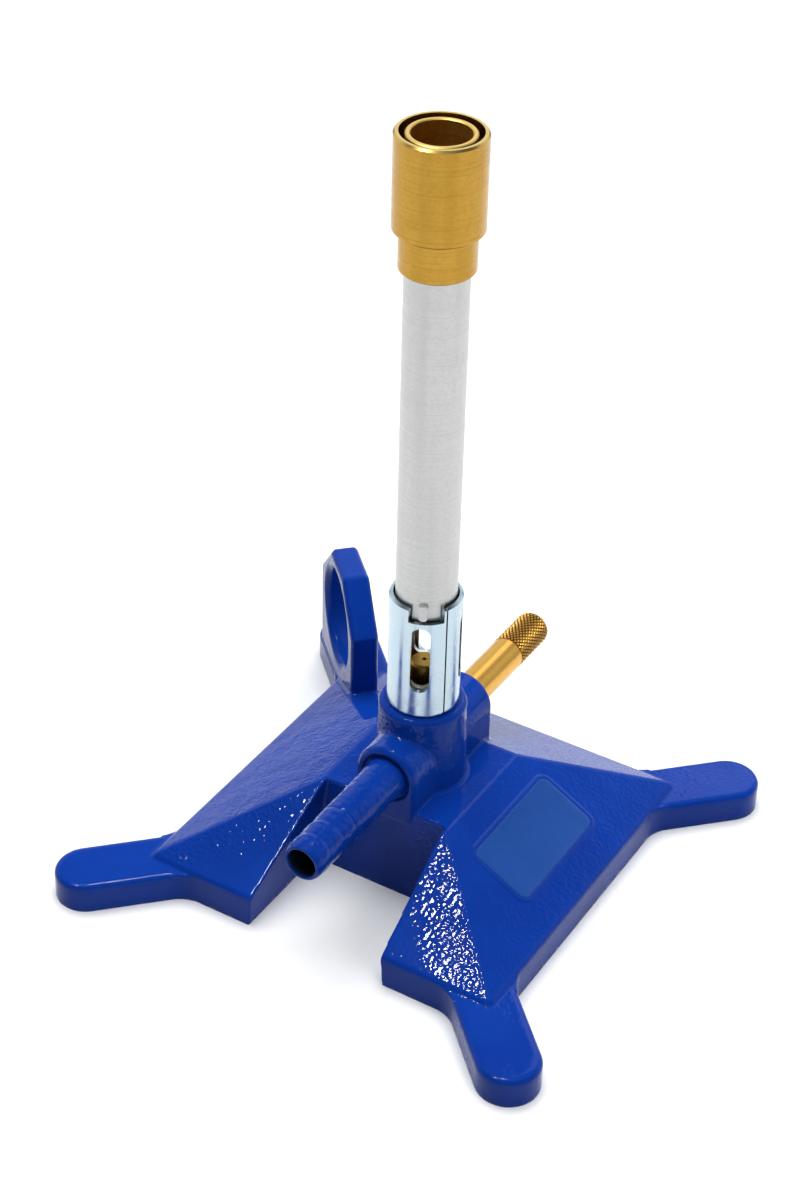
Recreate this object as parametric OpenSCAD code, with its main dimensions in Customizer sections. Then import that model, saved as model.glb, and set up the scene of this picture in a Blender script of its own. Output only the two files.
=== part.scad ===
// Laboratory gas burner: a cast anti-tip base with a carrying ring, a horizontal
// hose inlet with a needle valve opposite, a mixing tube with a turning air
// collar, and a two-ring flame head.
// Frame: +Z up, origin on the bench under the tube axis, inlet towards -Y.

/* [Base] */
// Half width of the square body at its edge
body_half = 41.5; // [36:0.5:50]
// How much nearer the back edge is to the axis than the other three
back_set = 1; // [0:0.1:3]
// Height at which the sloping faces would meet the upright edge
edge_z = 7.3; // [6.9:0.1:12]
// Rise of a sloping face for each millimetre inwards
face_slope = 0.55; // [0.4:0.01:0.6]
// Height of the flat round the column
plateau_z = 21.6; // [19:0.1:23]
// Rounding of the body's edges and ridges
edge_r = 1.5; // [0.8:0.1:2.4]
// Depth of the cored recess under the body
relief_depth = 2.5; // [1:0.1:3.5]
// Width of the land left round that recess
relief_land = 5; // [3:0.5:8]

/* [Toes] */
// Distance of each toe's end centre from the axis
toe_reach = 72.1; // [66:0.1:84]
// How much shorter the right back toe is
back_toe_set = 0.8; // [0:0.1:3]
// How much shorter the toe under the ring is
ring_toe_set = 1.7; // [0:0.1:3]
// Radius of a toe's rounded end
toe_r = 6.7; // [5:0.1:8]
// Height of a toe
toe_h = 6.8; // [4.5:0.1:6.9]
// Rounding of a toe's top edge
toe_edge_r = 1.3; // [0.8:0.1:2.5]
// Radius of the fillets between toes and body
toe_fillet_r = 8; // [4:0.5:10]

/* [Notch] */
// Half width of the notch at the bench
notch_half = 16.4; // [14:0.1:18]
// Distance of the notch's back wall from the axis at the bench
notch_back = 16.2; // [15.6:0.1:18]
// Lean of the notch walls for each millimetre of height
notch_draft = 0.09; // [0.02:0.01:0.12]

/* [Carrying ring] */
// Distance of the ring's centre from the axis
ring_reach = 54.9; // [53:0.1:57]
// Height of the ring's centre
ring_z = 22.7; // [20:0.1:25]
// Width of the ring's plate
ring_w = 32.3; // [29:0.1:34]
// Height of the plate's top above the ring's centre
ring_rise = 14.8; // [13.6:0.1:16]
// Size of the plate's two cut corners
ring_cut = 10.1; // [8:0.1:11]
// Thickness of the ring
ring_t = 6.3; // [4:0.1:6.6]
// Diameter of the finger hole
ring_hole_d = 22.6; // [18:0.1:23]
// Bevel round the finger hole
ring_hole_bevel = 1.1; // [0.3:0.1:1.4]
// Offset of the ring from the middle of its toe
ring_offset = 3.2; // [0:0.1:3.4]
// Chamfer of the ring's edges
ring_chamfer = 0.8; // [0.3:0.1:1.2]

/* [Column] */
// Diameter of the column at its top
column_d = 18.6; // [17.8:0.1:20]
// Diameter of the column at its foot
column_foot_d = 19.4; // [18.2:0.1:22]
// Height of the column's top face
column_top_z = 40.3; // [39:0.1:43]
// Size of the fillet at the column's foot
column_fillet = 0.5; // [0.2:0.1:1.5]
// Width of the bevel round the column's top
column_bevel = 0.7; // [0.3:0.1:1]
// Height of the gas way, the inlet and the valve
gas_z = 28.4; // [28:0.1:29]
// Radius of the inlet boss
inlet_boss_r = 7.2; // [6.9:0.1:8]
// Distance of the inlet boss's face from the axis
inlet_boss_y = 14.8; // [14:0.1:15.2]
// Radius of the valve boss
valve_boss_r = 6.8; // [6:0.1:8]
// Distance of the valve boss's face from the axis
valve_boss_y = 18.5; // [16:0.1:22]
// Bevel round the face of either boss
boss_bevel = 0.8; // [0.3:0.1:1.2]
// Radius of the ring-shaped recess round the inlet
inlet_recess_r = 5.6; // [5.2:0.1:6.4]
// Depth of that recess
inlet_recess_depth = 0.9; // [0.5:0.1:2.5]

/* [Hose inlet] */
// Diameter of the inlet where it leaves the boss
barb_root_d = 9.3; // [8.6:0.1:9.8]
// Diameter of the plain stretch next to the serrations
barb_neck_d = 8.9; // [8:0.1:9.2]
// Diameter over the serrations
barb_crest_d = 8.8; // [8.5:0.1:9]
// Diameter at the small end of a serration
barb_small_d = 8.2; // [7.4:0.1:8.4]
// Bore of the inlet
barb_bore_d = 6.1; // [4:0.1:6.6]
// Distance of the inlet's tip from the axis
barb_tip_y = 46.4; // [40:0.1:60]
// Number of serrations
barb_count = 3; // [2:1:4]
// Length of one serration
barb_pitch = 4.7; // [3:0.1:5]
// Diameter of the spigot pressed into the boss
barb_spigot_d = 8; // [7.2:0.1:8.4]
// Length of that spigot
barb_spigot_l = 7; // [4:0.1:7.4]
// Length of the taper from the root to the plain stretch
barb_taper_l = 4; // [3:0.1:8]

/* [Mixing tube] */
// Outside diameter of the tube
tube_d = 12.7; // [12.4:0.1:13]
// Wall of the tube
tube_wall = 1; // [0.6:0.1:1.2]
// Depth of the tube's socket in the column
tube_socket = 6; // [4:0.1:7]
// Width of the lug that stops the collar
lug_w = 1.8; // [1.2:0.1:2.4]
// Height of the lug
lug_h = 3.6; // [2.4:0.1:3.8]
// How far the lug stands out from the tube
lug_out = 0.8; // [0.5:0.1:1.1]
// Bearing of the lug round the axis
lug_angle = -64.6; // [-68:0.1:-62]
// Width of the tube's air holes
air_hole_w = 5.6; // [3:0.1:5.8]
// Bearing of the first air hole
air_hole_angle = -66.8; // [-72:0.1:-54]

/* [Air collar] */
// Wall of the collar
collar_wall = 1.18; // [0.8:0.01:1.4]
// Running clearance between collar and tube
collar_gap = 0.07; // [0.03:0.01:0.1]
// Gap under the collar
collar_lift = 0.3; // [0.1:0.1:0.6]
// Length of the collar
collar_l = 26.6; // [25:0.1:30]
// Width of the notch in the collar's top, as an angle
collar_notch_angle = 57; // [50:0.5:70]
// Depth of that notch
collar_notch_depth = 3.2; // [2.4:0.1:4]
// Bearing of the middle of that notch
collar_notch_bearing = -58.8; // [-62:0.1:-56]
// Width of the air slots
slot_w = 4; // [3:0.1:4.6]
// Length of the air slots
slot_l = 16; // [12:0.1:16.5]
// Height of the slots' lower ends above the collar's foot
slot_foot = 6.3; // [5.5:0.1:6.5]
// Number of air slots
slot_count = 4; // [3:1:4]
// Bearing of the first air slot
slot_bearing = -66.8; // [-70:0.1:-62]
// Width of the seam
seam_w = 0.35; // [0.2:0.05:0.6]
// Rounding inside the collar's top edge
collar_flare = 0.35; // [0.1:0.05:0.5]

/* [Gas jet] */
// Diameter of the jet's body
jet_d = 7.8; // [6.4:0.1:8.4]
// Diameter of the jet's tip
jet_tip_d = 6; // [4:0.1:6.8]
// Height of the shoulder below the tip
jet_shoulder_z = 44; // [41:0.1:47]
// Height of the jet's top
jet_top_z = 50; // [48:0.1:58]
// Gas hole in the jet's top
jet_orifice_d = 0.9; // [0.5:0.1:1.4]
// Bore inside the jet
jet_bore_d = 3; // [2:0.1:3.6]
// Hexagon of the jet across its flats
jet_hex = 9; // [8.2:0.1:9.2]
// Height of that hexagon
jet_hex_h = 3; // [2:0.1:4]
// Diameter of the jet's stub in the casting
jet_stub_d = 5; // [4.4:0.1:5.6]

/* [Flame head] */
// Outside diameter of the cup
cup_d = 17.7; // [17:0.1:20]
// Inside diameter of the cup
cup_bore_d = 15.7; // [14.8:0.1:16.2]
// Height of the burner's mouth
mouth_z = 167.8; // [140:0.1:200]
// Length of the cup's wide part
cup_l = 19.4; // [16:0.1:26]
// Height of the tube's end above the foot of that wide part
lip_rise = 0.8; // [0.6:0.1:1.4]
// Outside diameter of the cup's lower ring
neck_d = 15; // [14.2:0.1:16.4]
// Length of the cup's lower ring
neck_l = 8.1; // [6:0.1:12]
// Outside diameter of the inner ring
insert_d = 13.4; // [13:0.1:14]
// Inside diameter of the inner ring
insert_bore_d = 11.4; // [10.8:0.1:11.8]
// Gap between the tube's end and the inner ring
insert_gap = 1; // [0.6:0.1:2]
// Length of the inner ring's seat in the cup
insert_seat_l = 3; // [2:0.1:4]
// Height of the pilot ports above that seat
port_rise = 2; // [1.2:0.1:3]
// How far the inner ring stays below the mouth
insert_drop = 0.3; // [0:0.1:1]
// Number of pilot ports
port_count = 8; // [4:1:12]
// Diameter of the pilot ports
port_d = 1.2; // [0.8:0.1:1.6]
// Bevel on the flame head's edges
head_bevel = 0.4; // [0.1:0.05:0.5]

/* [Needle valve] */
// Diameter of the knob's plain shank
shank_d = 7.7; // [7:0.1:8]
// Running clearance of the shank in its boss
shank_gap = 0.06; // [0.03:0.01:0.1]
// Depth of the shank's bore in the boss
shank_depth = 9.5; // [8:0.1:10]
// Distance from the axis at which the knurling starts
knurl_y = 36.9; // [30:0.1:42]
// Diameter over the knurling
knurl_d = 7.9; // [7.7:0.1:9]
// Number of knurls round the knob
knurl_count = 26; // [16:1:30]
// Depth of the knurling
knurl_depth = 0.3; // [0.15:0.05:0.35]
// Distance of the knob's end from the axis
knob_end_y = 49.6; // [46:0.1:60]
// Rounding of the knob's end
knob_end_r = 1.3; // [0.6:0.1:2]
// Diameter of the needle's screwed part
screw_d = 4; // [3.4:0.1:4.4]
// Diameter of the needle's plain tail inside the knob
tail_d = 2.6; // [2:0.1:3]
// Length of that tail
tail_l = 13; // [8:0.1:14]
// Diameter of the needle
needle_d = 1.8; // [1.4:0.1:2]
// Length of the needle's cone
cone_l = 2.2; // [1.4:0.1:3]
// Radius of the cone's blunt tip
cone_tip_r = 0.15; // [0.1:0.05:0.3]
// Distance from the column's axis at which the screwed part starts
screw_y = 4.2; // [3.6:0.1:5]
// Running clearance of the needle's parts
needle_gap = 0.05; // [0.03:0.01:0.09]
// Bore of the valve seat
seat_d = 1.2; // [0.9:0.1:1.3]
// Distance of the seat's face from the column's axis, towards the inlet
chamber_back = 3; // [2.8:0.1:3.4]
// Length of the seat's bore
seat_l = 2; // [1:0.1:2.6]
// Thickness of the sealing ring
ring_seal_t = 1; // [0.8:0.1:1.2]
// Distance of the sealing ring from the boss's face
seal_back = 4.5; // [3:0.1:5.5]
// Travel of the needle each way from its drawn place
needle_travel = 1.2; // [0.8:0.1:1.2]

/* [Hidden] */
$fn = 96;
coarse = 32;
eps = 0.01;
over = 1;

// Centres of the balls that round the body's lower and upper corners
face_len = sqrt(1 + face_slope * face_slope);
corner_xy = body_half - edge_r;
corner_z = edge_z + (face_slope - face_len) * edge_r;
plateau_ball_z = plateau_z - edge_r;
plateau_xy = corner_xy - (plateau_ball_z - corner_z) / face_slope;

// How far the webs beside the toes reach into the body and the toes
tuck = 0.05;

ring_half = ring_w / 2;
ring_foot_z = toe_h - toe_edge_r;
strip_half = toe_r;

tube_r = tube_d / 2;
tube_bore_r = tube_r - tube_wall;
socket_z = column_top_z - tube_socket;
tube_top_z = mouth_z - cup_l + lip_rise;
collar_bore_r = tube_r + collar_gap;
collar_r = collar_bore_r + collar_wall;
collar_z = column_top_z + collar_lift;
collar_top_z = collar_z + collar_l;
notch_floor_z = collar_top_z - collar_notch_depth;
lug_z = notch_floor_z + 0.5;
slot_z = collar_z + slot_foot;
seam_bearing = collar_notch_bearing + collar_notch_angle / 2 + 5;

neck_z = mouth_z - cup_l - neck_l;
step_z = mouth_z - cup_l;
lip_z = tube_top_z;
insert_z = lip_z + insert_gap;
insert_seat_z = insert_z + insert_seat_l;
port_z = insert_seat_z + port_rise;

shank_bore_r = shank_d / 2 + shank_gap;
shank_floor_y = valve_boss_y - shank_depth;
shank_end_y = shank_floor_y + needle_travel + 0.3;
screw_bore_r = screw_d / 2 + needle_gap;
chamber_y = -chamber_back;
seat_back_y = chamber_y - seat_l;
tail_y = shank_end_y + tail_l;
seal_y = valve_boss_y - seal_back;
seal_groove_w = ring_seal_t + 0.3;

// ---------------------------------------------------------------- helpers

// A cylinder along +Y that starts at y0
module rod_y(d, y0, y1) {
    translate([0, y0, gas_z]) rotate([-90, 0, 0]) cylinder(d = d, h = y1 - y0);
}

// A profile of [radius, distance from the axis] points, turned about the gas way
module turned_y(points, sense = 1) {
    translate([0, 0, gas_z]) rotate([-90 * sense, 0, 0]) rotate_extrude() polygon(points);
}

// A slot with round ends, cut radially through a sleeve
module radial_slot(bearing, w, z0, l, reach) {
    rotate([0, 0, bearing]) translate([0, 0, z0 + w / 2]) {
        rotate([0, 90, 0]) cylinder(d = w, h = reach);
        translate([0, 0, l - w]) rotate([0, 90, 0]) cylinder(d = w, h = reach);
        translate([0, -w / 2, 0]) cube([reach, w, l - w]);
    }
}

// A wedge of a cylinder between two bearings
module wedge(bearing, angle, r, z0, h) {
    half = angle / 2;
    translate([0, 0, z0]) linear_extrude(h)
        polygon([[0, 0],
                 [r * cos(bearing - half), r * sin(bearing - half)],
                 [r * cos(bearing) / cos(half), r * sin(bearing) / cos(half)],
                 [r * cos(bearing + half), r * sin(bearing + half)]]);
}

// ---------------------------------------------------------------- casting

// Points of an arc, from bearing a0 to a1
function arc(c, r, a0, a1, n) =
    [for (i = [0:n]) let (a = a0 + (a1 - a0) * i / n) [c[0] + r * cos(a), c[1] + r * sin(a)]];

// Half of a toe's section, as [distance from its middle, height], with a rounded edge
function toe_section() =
    concat([[0, 0], [toe_r, 0]], arc([toe_r - toe_edge_r, toe_h - toe_edge_r], toe_edge_r, 0, 90, 6),
           [[0, toe_h]]);

// One toe, along +X, with a round end and a rounded upper edge
module toe(reach) {
    root = body_half - toe_fillet_r;
    translate([reach, 0, 0]) rotate_extrude() polygon(toe_section());
    for (side = [0, 1]) mirror([0, side, 0]) translate([reach, 0, 0]) rotate([90, 0, -90])
        linear_extrude(reach - root) polygon(toe_section());
}

// Places what belongs to the back edge
module back_corner() {
    translate([0, -back_set, 0]) children();
}

// Webs that fill the corners between one toe and the body's two sides, which lie at the
// two distances. Their fillets touch the body's side and the toe's side, and their ends lie
// just inside both.
module toe_webs(sides) {
    for (swap = [0, 1]) mirror([swap, -swap, 0]) {
        cx = sides[swap] - tuck + toe_fillet_r;
        cy = cx - (toe_r - tuck + toe_fillet_r) * sqrt(2);
        linear_extrude(toe_h - tuck)
            polygon(concat(arc([cx, cy], toe_fillet_r, 180, 135, 8), [[cx - 2 * toe_fillet_r, cy]]));
    }
}

// The low pyramid with rounded edges
module pyramid() {
    hull() {
        for (x = [-1, 1], y = [-1, 1]) {
            set = y > 0 ? back_set : 0;
            translate([x * corner_xy, y * corner_xy - set, 0]) cylinder(r = edge_r, h = corner_z, $fn = coarse);
            translate([x * corner_xy, y * corner_xy - set, corner_z]) sphere(r = edge_r, $fn = coarse);
            translate([x * plateau_xy, y * plateau_xy - set, plateau_ball_z]) sphere(r = edge_r, $fn = coarse);
        }
    }
}

// Space for the notch, narrower at the top
module notch() {
    top = plateau_z + over;
    lean = notch_draft * top;
    far = body_half + over;
    hull() {
        translate([-notch_half, -far, -eps]) cube([2 * notch_half, far - notch_back, eps]);
        translate([-notch_half + lean, -far, top])
            cube([2 * (notch_half - lean), far - notch_back + lean, eps]);
    }
}

// Flat-topped strip along the back left ridge, cut from the pyramid's corner
module ridge_cut() {
    drop = face_slope * strip_half / sqrt(2);
    fall = face_slope / sqrt(2);
    reach = body_half * sqrt(2) + over;
    start = plateau_xy * sqrt(2);
    z_at_start = edge_z + face_slope * body_half - fall * start - drop;
    z_at_reach = edge_z + face_slope * body_half - fall * reach - drop;
    back_corner() rotate([0, 0, 135]) rotate([90, 0, 0]) translate([0, 0, -strip_half])
        linear_extrude(2 * strip_half) polygon([[start, z_at_start], [reach, z_at_reach], [reach, plateau_z + over], [start, plateau_z + over]]);
}

// The carrying ring on the back left toe
module carrying_ring() {
    c = ring_chamfer;
    foot = ring_foot_z - ring_z;
    rotate([0, 0, 135]) translate([ring_reach, ring_offset, ring_z]) rotate([90, 0, 0]) difference() {
        hull() for (k = [[0, c], [c, 0]]) {
            w = ring_half - k[0];
            h = ring_rise - k[0];
            cut = ring_cut - k[0] * (2 - sqrt(2));
            translate([0, 0, -ring_t / 2 + k[1]]) linear_extrude(ring_t - 2 * k[1])
                polygon([[cut - w, h], [w - cut, h], [w, h - cut], [w, foot], [-w, foot], [-w, h - cut]]);
        }
        translate([0, 0, -ring_t]) cylinder(d = ring_hole_d, h = 2 * ring_t);
        for (side = [0, 1]) mirror([0, 0, side]) translate([0, 0, ring_t / 2 - ring_hole_bevel])
            cylinder(d1 = ring_hole_d, d2 = ring_hole_d + 4 * ring_hole_bevel, h = 2 * ring_hole_bevel);
    }
}

// Arch of radius r over the gas way, from y0 to y1
module arch(r, y0, y1, foot) {
    translate([0, y0, 0]) rotate([90, 0, 0]) mirror([0, 0, 1]) linear_extrude(y1 - y0)
        polygon(concat([[-r, foot], [r, foot]], arc([0, gas_z], r, 0, 180, 36)));
}

// A boss round the gas way, arched on top, with a bevelled face at distance y
module boss(r, y) {
    foot = plateau_z - 3;
    b = boss_bevel;
    arch(r, 0, y - b, foot);
    hull() {
        arch(r, y - b - eps, y - b, foot);
        arch(r - b, y - eps, y, foot);
    }
}

module column() {
    b = column_bevel;
    r = column_d / 2;
    foot = column_foot_d / 2;
    sunk = plateau_z - 4 * edge_r;
    rotate_extrude() polygon([[0, sunk], [foot + column_fillet, sunk],
        [foot + column_fillet, plateau_z], [foot, plateau_z + column_fillet],
        [r, column_top_z - b], [r - b, column_top_z], [0, column_top_z]]);
}

// Cored recess under the body
module relief() {
    half = body_half - relief_land;
    wall = relief_land;
    translate([0, 0, -eps]) linear_extrude(relief_depth + eps) difference() {
        square(2 * half, center = true);
        translate([-notch_half - wall, -body_half]) square([2 * (notch_half + wall), body_half - notch_back + wall]);
        circle(d = column_foot_d + 2 * wall);
        for (a = [45:90:315]) rotate(a) translate([half * 1.1, -toe_r]) square([half, 2 * toe_r]);
        translate([-body_half, body_half - back_set - wall]) square(2 * body_half);
    }
}

module base_casting() {
    color("royalblue") difference() {
        union() {
            difference() {
                union() {
                    difference() {
                        pyramid();
                        ridge_cut();
                    }
                    for (a = [225, 315]) rotate([0, 0, a]) toe(toe_reach);
                    for (a = [180, 270]) rotate([0, 0, a]) toe_webs([body_half, body_half]);
                    back_corner() rotate([0, 0, 45]) toe(toe_reach - back_toe_set);
                    back_corner() toe_webs([body_half, body_half]);
                    rotate([0, 0, 135]) toe(toe_reach - ring_toe_set);
                    rotate([0, 0, 90]) toe_webs([body_half - back_set, body_half]);
                }
                notch();
            }
            carrying_ring();
            column();
            mirror([0, 1, 0]) boss(inlet_boss_r, inlet_boss_y);
            boss(valve_boss_r, valve_boss_y);
        }
        relief();
        // Socket of the tube, thread of the jet and the way up to it
        translate([0, 0, socket_z]) cylinder(d = tube_d, h = tube_socket + over);
        translate([0, 0, gas_z]) cylinder(d = jet_stub_d, h = socket_z - gas_z + over);
        // Recess and socket of the inlet, gas way and valve seat
        rod_y(2 * inlet_recess_r, -inlet_boss_y - over, -inlet_boss_y + inlet_recess_depth);
        rod_y(barb_spigot_d, -inlet_boss_y, -inlet_boss_y + inlet_recess_depth + barb_spigot_l);
        rod_y(barb_bore_d - 2, -inlet_boss_y, seat_back_y);
        rod_y(seat_d, seat_back_y - eps, chamber_y + eps);
        // Chamber, thread of the needle and bore of the shank
        rod_y(2 * screw_bore_r, chamber_y, shank_floor_y + eps);
        rod_y(2 * shank_bore_r, shank_floor_y, valve_boss_y + over);
    }
}

// ---------------------------------------------------------------- inlet and jet

module hose_inlet() {
    face = inlet_boss_y - inlet_recess_depth;
    spigot_end = face - barb_spigot_l;
    first = barb_tip_y - barb_count * barb_pitch;
    small = barb_small_d / 2;
    crest = barb_crest_d / 2;
    serrations = [for (i = [0:barb_count - 1])
        for (p = [[small, first + i * barb_pitch], [crest, first + i * barb_pitch + 0.5]])
            [p[0], p[1]]];
    color("royalblue") difference() {
        turned_y(concat(
            [[0, spigot_end], [barb_spigot_d / 2, spigot_end], [barb_spigot_d / 2, face],
             [barb_root_d / 2, face], [barb_root_d / 2, face + 1], [barb_neck_d / 2, face + 1 + barb_taper_l],
             [barb_neck_d / 2, first - 0.4]],
            serrations,
            [[small, barb_tip_y - 0.4], [small - 0.4, barb_tip_y], [0, barb_tip_y]]), -1);
        rod_y(barb_bore_d, -barb_tip_y - over, -spigot_end + over);
    }
}

module gas_jet() {
    tip_r = jet_tip_d / 2;
    hex_top = socket_z + jet_hex_h;
    b = 0.5;
    color("goldenrod") difference() {
        union() {
            translate([0, 0, gas_z + screw_d / 2 + 0.6])
                cylinder(d = jet_stub_d, h = socket_z - gas_z - screw_d / 2 - 0.6 + eps);
            translate([0, 0, socket_z]) cylinder(d = jet_hex / cos(30), h = jet_hex_h, $fn = 6);
            rotate_extrude() polygon([[0, hex_top - eps], [jet_d / 2, hex_top - eps],
                [jet_d / 2, jet_shoulder_z - b], [jet_d / 2 - b, jet_shoulder_z], [tip_r, jet_shoulder_z],
                [tip_r, jet_top_z - b], [tip_r - b, jet_top_z], [0, jet_top_z]]);
        }
        translate([0, 0, gas_z]) cylinder(d = jet_bore_d, h = jet_top_z - gas_z - 1);
        translate([0, 0, jet_top_z - over - eps]) cylinder(d = jet_orifice_d, h = 2 * over);
    }
}

// ---------------------------------------------------------------- tube and collar

module burner_tube() {
    color("silver") difference() {
        union() {
            translate([0, 0, socket_z]) cylinder(d = tube_d, h = tube_top_z - socket_z);
            rotate([0, 0, lug_angle]) translate([tube_bore_r + 0.3, 0, 0]) {
                out = tube_wall - 0.3 + lug_out;
                translate([0, -lug_w / 2, lug_z + lug_w / 2]) cube([out, lug_w, lug_h - lug_w / 2]);
                translate([0, 0, lug_z + lug_w / 2]) rotate([0, 90, 0]) cylinder(d = lug_w, h = out);
            }
        }
        translate([0, 0, socket_z - over]) cylinder(r = tube_bore_r, h = tube_top_z - socket_z + 2 * over);
        for (i = [0:slot_count - 1])
            radial_slot(air_hole_angle + i * 360 / slot_count, air_hole_w, slot_z + 0.3, slot_l - 0.6, tube_d);
    }
}

module air_collar() {
    f = collar_flare;
    color("lightsteelblue") difference() {
        rotate_extrude() polygon([[collar_bore_r, collar_z], [collar_r - f / 2, collar_z],
            [collar_r, collar_z + f / 2], [collar_r, collar_top_z - f], [collar_r - f, collar_top_z],
            [collar_bore_r + f, collar_top_z], [collar_bore_r, collar_top_z - f]]);
        wedge(collar_notch_bearing, collar_notch_angle, 2 * collar_r, notch_floor_z, collar_notch_depth + over);
        for (i = [0:slot_count - 1])
            radial_slot(slot_bearing + i * 360 / slot_count, slot_w, slot_z, slot_l, 2 * collar_r);
        rotate([0, 0, seam_bearing]) translate([0, -seam_w / 2, collar_z - over])
            cube([2 * collar_r, seam_w, collar_l + 2 * over]);
    }
}

// ---------------------------------------------------------------- flame head

module flame_cup() {
    b = head_bevel;
    color("darkgoldenrod") rotate_extrude() polygon([
        [tube_r, neck_z], [neck_d / 2 - b, neck_z], [neck_d / 2, neck_z + b],
        [neck_d / 2, step_z], [cup_d / 2 - b, step_z], [cup_d / 2, step_z + b],
        [cup_d / 2, mouth_z - b], [cup_d / 2 - b, mouth_z], [cup_bore_d / 2, mouth_z],
        [cup_bore_d / 2, insert_seat_z], [insert_d / 2, insert_seat_z], [insert_d / 2, insert_z],
        [insert_bore_d / 2, insert_z], [insert_bore_d / 2, lip_z], [tube_r, lip_z]]);
}

module flame_insert() {
    b = head_bevel / 2;
    top = mouth_z - insert_drop;
    r0 = insert_bore_d / 2;
    r1 = insert_d / 2;
    color("darkgoldenrod") difference() {
        rotate_extrude() polygon([[r0, insert_z], [r1, insert_z], [r1, top - b], [r1 - b, top],
            [r0 + b, top], [r0, top - b]]);
        for (i = [0:port_count - 1]) rotate([0, 0, (i + 0.5) * 360 / port_count])
            translate([0, 0, port_z]) rotate([0, 90, 0]) cylinder(d = port_d, h = insert_d);
    }
}

// ---------------------------------------------------------------- valve

module valve_knob() {
    r = shank_d / 2;
    k = knurl_d / 2;
    e = knob_end_r;
    groove = r - ring_seal_t;
    color("goldenrod") difference() {
        turned_y(concat(
            [[0, shank_end_y], [r - 0.4, shank_end_y], [r, shank_end_y + 0.4],
             [r, seal_y - seal_groove_w / 2], [groove, seal_y - seal_groove_w / 2],
             [groove, seal_y + seal_groove_w / 2], [r, seal_y + seal_groove_w / 2],
             [r, knurl_y], [k, knurl_y + 0.3]],
            [for (a = [0:15:90]) [k - e + e * cos(a), knob_end_y - e + e * sin(a)]],
            [[0, knob_end_y]]));
        rod_y(tail_d + 2 * needle_gap, shank_end_y - over, tail_y + 0.4);
        for (i = [0:knurl_count - 1]) rotate_about_gas(i * 360 / knurl_count)
            translate([0, knurl_y + 0.4, gas_z + k + knurl_depth]) rotate([-90, 0, 0])
                rotate([0, 0, 45]) translate([-knurl_depth, -knurl_depth, 0])
                    cube([2 * knurl_depth, 2 * knurl_depth, knob_end_y]);
    }
}

module rotate_about_gas(a) {
    translate([0, 0, gas_z]) rotate([0, a, 0]) translate([0, 0, -gas_z]) children();
}

module valve_needle() {
    n = needle_d / 2;
    cone_y = chamber_y + cone_l;
    color("gainsboro") turned_y([[0, chamber_y], [cone_tip_r, chamber_y], [n, cone_y], [n, screw_y],
        [screw_d / 2 - 0.3, screw_y], [screw_d / 2, screw_y + 0.3],
        [screw_d / 2, shank_end_y - 0.1], [tail_d / 2, shank_end_y - 0.1],
        [tail_d / 2, tail_y], [0, tail_y]]);
}

module valve_seal() {
    t = ring_seal_t / 2 - 0.01;
    color("black") translate([0, seal_y, gas_z]) rotate([-90, 0, 0]) rotate_extrude()
        translate([shank_d / 2 - ring_seal_t + t, 0]) circle(r = t, $fn = coarse);
}

base_casting();
hose_inlet();
gas_jet();
burner_tube();
air_collar();
flame_cup();
flame_insert();
valve_knob();
valve_needle();
valve_seal();
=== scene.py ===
"""Laboratory gas burner: soft cast edges, knurling, serrations, finishes and a bare label plate."""

import math

import bmesh
import bpy
import numpy as np
from mathutils import Matrix, Vector

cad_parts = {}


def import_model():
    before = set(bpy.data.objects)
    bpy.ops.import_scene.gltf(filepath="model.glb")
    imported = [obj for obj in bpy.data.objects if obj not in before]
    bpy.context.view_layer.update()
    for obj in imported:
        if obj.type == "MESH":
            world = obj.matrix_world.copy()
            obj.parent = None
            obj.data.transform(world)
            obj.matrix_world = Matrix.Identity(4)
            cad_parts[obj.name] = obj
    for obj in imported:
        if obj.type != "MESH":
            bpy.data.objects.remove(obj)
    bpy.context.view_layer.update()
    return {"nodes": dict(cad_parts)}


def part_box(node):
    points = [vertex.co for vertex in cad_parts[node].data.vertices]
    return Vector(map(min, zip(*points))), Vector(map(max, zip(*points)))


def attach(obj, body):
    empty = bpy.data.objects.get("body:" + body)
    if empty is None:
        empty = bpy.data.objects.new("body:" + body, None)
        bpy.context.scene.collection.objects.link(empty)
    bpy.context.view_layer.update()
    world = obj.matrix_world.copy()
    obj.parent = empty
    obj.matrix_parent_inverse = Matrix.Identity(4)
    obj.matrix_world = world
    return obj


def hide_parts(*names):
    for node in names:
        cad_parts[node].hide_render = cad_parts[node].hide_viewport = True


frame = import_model()

MM = 0.001

# ---------------------------------------------------------------- camera

IMAGE_W = 800
IMAGE_H = 1178
FOCAL_PX = 2467.9
SENSOR = 36.0
CAMERA_AT = Vector((0.202543, -0.353670, 0.354565))
CAMERA_AZIMUTH = math.radians(30.556)
CAMERA_ELEVATION = math.radians(35.167)
CAMERA_ROLL = math.radians(1.486)


def add_camera():
    """A level camera turned to its azimuth and elevation, then rolled about its own axis."""
    ca, sa = math.cos(CAMERA_AZIMUTH), math.sin(CAMERA_AZIMUTH)
    ce, se = math.cos(CAMERA_ELEVATION), math.sin(CAMERA_ELEVATION)
    right = Vector((ca, sa, 0))
    back = Vector((sa * ce, -ca * ce, se))
    up = back.cross(right)
    cr, sr = math.cos(CAMERA_ROLL), math.sin(CAMERA_ROLL)
    axis_x = right * cr + up * sr
    axis_y = up * cr - right * sr
    data = bpy.data.cameras.new("camera")
    data.sensor_width = SENSOR
    data.sensor_fit = "AUTO"
    data.lens = SENSOR * FOCAL_PX / max(IMAGE_W, IMAGE_H)
    data.clip_start = 0.01
    data.clip_end = 20
    camera = bpy.data.objects.new("camera", data)
    turn = Matrix((axis_x, axis_y, back)).transposed().to_4x4()
    camera.matrix_world = Matrix.Translation(CAMERA_AT) @ turn
    bpy.context.collection.objects.link(camera)
    bpy.context.scene.camera = camera


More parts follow.
